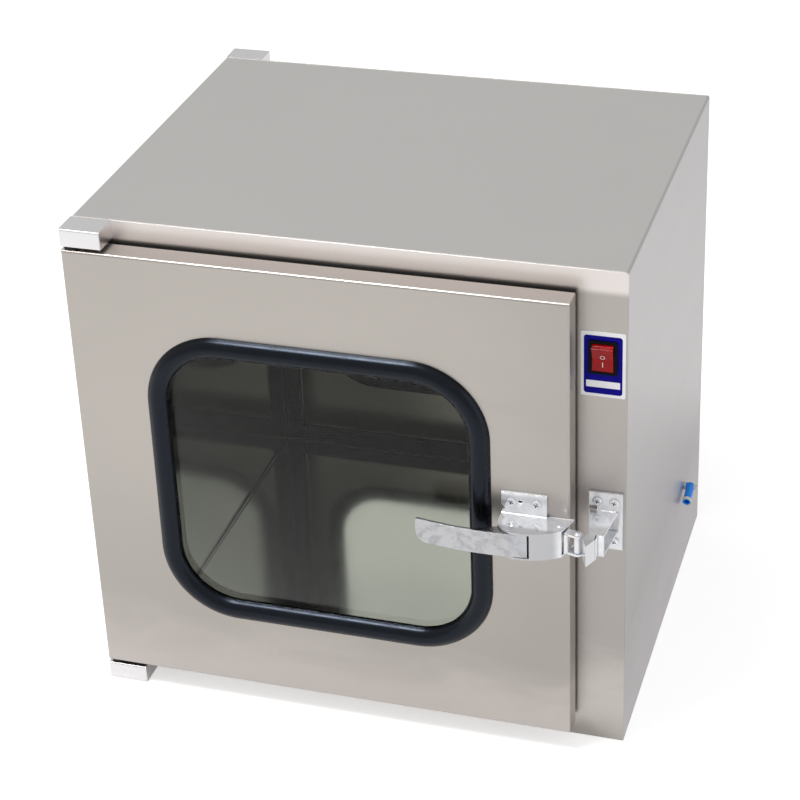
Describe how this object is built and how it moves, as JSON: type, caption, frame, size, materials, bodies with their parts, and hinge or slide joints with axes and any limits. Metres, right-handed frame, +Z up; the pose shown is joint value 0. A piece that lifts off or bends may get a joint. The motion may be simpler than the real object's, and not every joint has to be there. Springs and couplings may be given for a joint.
{
  "type": "cleanroom pass box",
  "caption": "Square stainless transfer chamber with a gasketed window door and lever latch at each end, pivot hinges, ceiling lamp and rocker switch.",
  "frame": {"origin": "centre of the cabinet's base, on the surface that the box stands on", "axes": "+X to the right seen from the front, the front door faces -Y, +Z up"},
  "size_m": [0.5342, 0.5286, 0.502],
  "materials": {
    "outer_casing": "satin",
    "front_frame": "satin",
    "rear_frame": "satin",
    "base_panel": "satin",
    "chamber_liner": "satin",
    "front_top_hinge_bracket": "satin",
    "front_bottom_hinge_bracket": "satin",
    "rear_top_hinge_bracket": "satin",
    "rear_bottom_hinge_bracket": "satin",
    "hinge_pins": "turned",
    "front_door_skin": "satin",
    "front_door_inner_frame": "satin",
    "front_door_stiffeners": "zinc plated",
    "front_hinge_bushes": "moulded",
    "front_door_gasket": "sponge",
    "front_window_seal": "extruded",
    "front_window_glass": "clear",
    "front_latch_housing": "zinc plated",
    "front_latch_screws": "zinc plated",
    "front_latch_pins": "zinc plated",
    "front_lever": "zinc plated",
    "front_link": "zinc plated",
    "front_link_pin": "zinc plated",
    "front_tongue": "zinc plated",
    "front_roller_pin": "zinc plated",
    "front_roller": "ground",
    "front_strike": "zinc plated",
    "rear_door_skin": "satin",
    "rear_door_inner_frame": "satin",
    "rear_door_stiffeners": "zinc plated",
    "rear_hinge_bushes": "moulded",
    "rear_door_gasket": "sponge",
    "rear_window_seal": "extruded",
    "rear_window_glass": "clear",
    "rear_latch_housing": "zinc plated",
    "rear_latch_screws": "zinc plated",
    "rear_latch_pins": "zinc plated",
    "rear_lever": "zinc plated",
    "rear_link": "zinc plated",
    "rear_link_pin": "zinc plated",
    "rear_tongue": "zinc plated",
    "rear_roller_pin": "zinc plated",
    "rear_roller": "ground",
    "rear_strike": "zinc plated",
    "strike_screws": "zinc plated",
    "strike_backing_plates": "zinc plated",
    "switch_label_plate": "printed",
    "switch_housing": "moulded",
    "switch_rocker": "moulded",
    "switch_terminals": "tinned",
    "uv_lamp_tube": "clear quartz",
    "uv_lamp_caps": "pressed",
    "lamp_holders": "moulded",
    "lamp_reflector": "bright",
    "lamp_ballast": "painted",
    "side_port_bolt": "nickel plated",
    "side_port_elbow": "moulded",
    "side_port_collar": "moulded",
    "cable_gland": "moulded",
    "cable_gland_nut": "moulded"
  },
  "bodies": {
    "cabinet": {"outer_casing": "outer_casing", "front_frame": "front_frame", "rear_frame": "rear_frame", "base_panel": "base_panel", "chamber_liner": "chamber_liner", "front_top_hinge_bracket": "front_top_hinge_bracket", "front_bottom_hinge_bracket": "front_bottom_hinge_bracket", "rear_top_hinge_bracket": "rear_top_hinge_bracket", "rear_bottom_hinge_bracket": "rear_bottom_hinge_bracket", "hinge_pins": "hinge_pins", "front_strike": "front_strike", "rear_strike": "rear_strike", "strike_screws": "strike_screws", "strike_backing_plates": "strike_backing_plates", "switch_label_plate": "switch_label_plate", "switch_housing": "switch_housing", "switch_terminals": "switch_terminals", "uv_lamp_tube": "uv_lamp_tube", "uv_lamp_caps": "uv_lamp_caps", "lamp_holders": "lamp_holders", "lamp_reflector": "lamp_reflector", "lamp_ballast": "lamp_ballast", "side_port_bolt": "side_port_bolt", "side_port_elbow": "side_port_elbow", "side_port_collar": "side_port_collar", "cable_gland": "cable_gland", "cable_gland_nut": "cable_gland_nut"},
    "front_door": {"front_door_skin": "front_door_skin", "front_door_inner_frame": "front_door_inner_frame", "front_door_stiffeners": "front_door_stiffeners", "front_hinge_bushes": "front_hinge_bushes", "front_door_gasket": "front_door_gasket", "front_window_seal": "front_window_seal", "front_window_glass": "front_window_glass", "front_latch_housing": "front_latch_housing", "front_latch_screws": "front_latch_screws", "front_latch_pins": "front_latch_pins"},
    "front_latch_lever": {"front_lever": "front_lever", "front_link_pin": "front_link_pin"},
    "front_latch_link": {"front_link": "front_link"},
    "front_latch_tongue": {"front_tongue": "front_tongue", "front_roller_pin": "front_roller_pin"},
    "front_latch_roller": {"front_roller": "front_roller"},
    "rear_door": {"rear_door_skin": "rear_door_skin", "rear_door_inner_frame": "rear_door_inner_frame", "rear_door_stiffeners": "rear_door_stiffeners", "rear_hinge_bushes": "rear_hinge_bushes", "rear_door_gasket": "rear_door_gasket", "rear_window_seal": "rear_window_seal", "rear_window_glass": "rear_window_glass", "rear_latch_housing": "rear_latch_housing", "rear_latch_screws": "rear_latch_screws", "rear_latch_pins": "rear_latch_pins"},
    "rear_latch_lever": {"rear_lever": "rear_lever", "rear_link_pin": "rear_link_pin"},
    "rear_latch_link": {"rear_link": "rear_link"},
    "rear_latch_tongue": {"rear_tongue": "rear_tongue", "rear_roller_pin": "rear_roller_pin"},
    "rear_latch_roller": {"rear_roller": "rear_roller"},
    "rocker": {"switch_rocker": "switch_rocker"}
  },
  "joints": [
    {"name": "front_door_hinge", "type": "hinge", "parent": "cabinet", "child": "front_door", "pos_m": [-0.252, -0.22075, 0.251], "axis": [0, 0, -1], "range_deg": [0, 170]},
    {"name": "front_lever_pivot", "type": "hinge", "parent": "front_door", "child": "front_latch_lever", "pos_m": [0.1665, -0.24875, 0.24925], "axis": [0, 0, 1], "range_deg": [0, 45]},
    {"name": "front_tongue_pivot", "type": "hinge", "parent": "front_door", "child": "front_latch_tongue", "pos_m": [0.2085, -0.24175, 0.24925], "axis": [0, 0, 1], "range_deg": [0, 45]},
    {"name": "front_link_pivot", "type": "hinge", "parent": "front_latch_lever", "child": "front_latch_link", "pos_m": [0.1665, -0.24075, 0.24925], "axis": [0, 0, 1], "range_deg": [-45, 0]},
    {"name": "front_roller_spin", "type": "hinge", "parent": "front_latch_tongue", "child": "front_latch_roller", "pos_m": [0.2255, -0.24625, 0.24925], "axis": [0, 0, 1], "continuous": true},
    {"name": "rear_door_hinge", "type": "hinge", "parent": "cabinet", "child": "rear_door", "pos_m": [-0.252, 0.22075, 0.251], "axis": [0, 0, 1], "range_deg": [0, 170]},
    {"name": "rear_lever_pivot", "type": "hinge", "parent": "rear_door", "child": "rear_latch_lever", "pos_m": [0.1665, 0.24875, 0.24925], "axis": [0, 0, -1], "range_deg": [0, 45]},
    {"name": "rear_tongue_pivot", "type": "hinge", "parent": "rear_door", "child": "rear_latch_tongue", "pos_m": [0.2085, 0.24175, 0.24925], "axis": [0, 0, -1], "range_deg": [0, 45]},
    {"name": "rear_link_pivot", "type": "hinge", "parent": "rear_latch_lever", "child": "rear_latch_link", "pos_m": [0.1665, 0.24075, 0.24925], "axis": [0, 0, -1], "range_deg": [-45, 0]},
    {"name": "rear_roller_spin", "type": "hinge", "parent": "rear_latch_tongue", "child": "rear_latch_roller", "pos_m": [0.2255, 0.24625, 0.24925], "axis": [0, 0, -1], "continuous": true},
    {"name": "switch_rocker_pivot", "type": "hinge", "parent": "cabinet", "child": "rocker", "pos_m": [0.23825, -0.19975, 0.4174], "axis": [-1, 0, 0], "range_deg": [0, 18]}
  ],
  "couplings": [
    {"joint": "front_tongue_pivot", "follows": "front_lever_pivot", "ratio": 1},
    {"joint": "front_link_pivot", "follows": "front_lever_pivot", "ratio": -1},
    {"joint": "rear_tongue_pivot", "follows": "rear_lever_pivot", "ratio": 1},
    {"joint": "rear_link_pivot", "follows": "rear_lever_pivot", "ratio": -1}
  ]
}
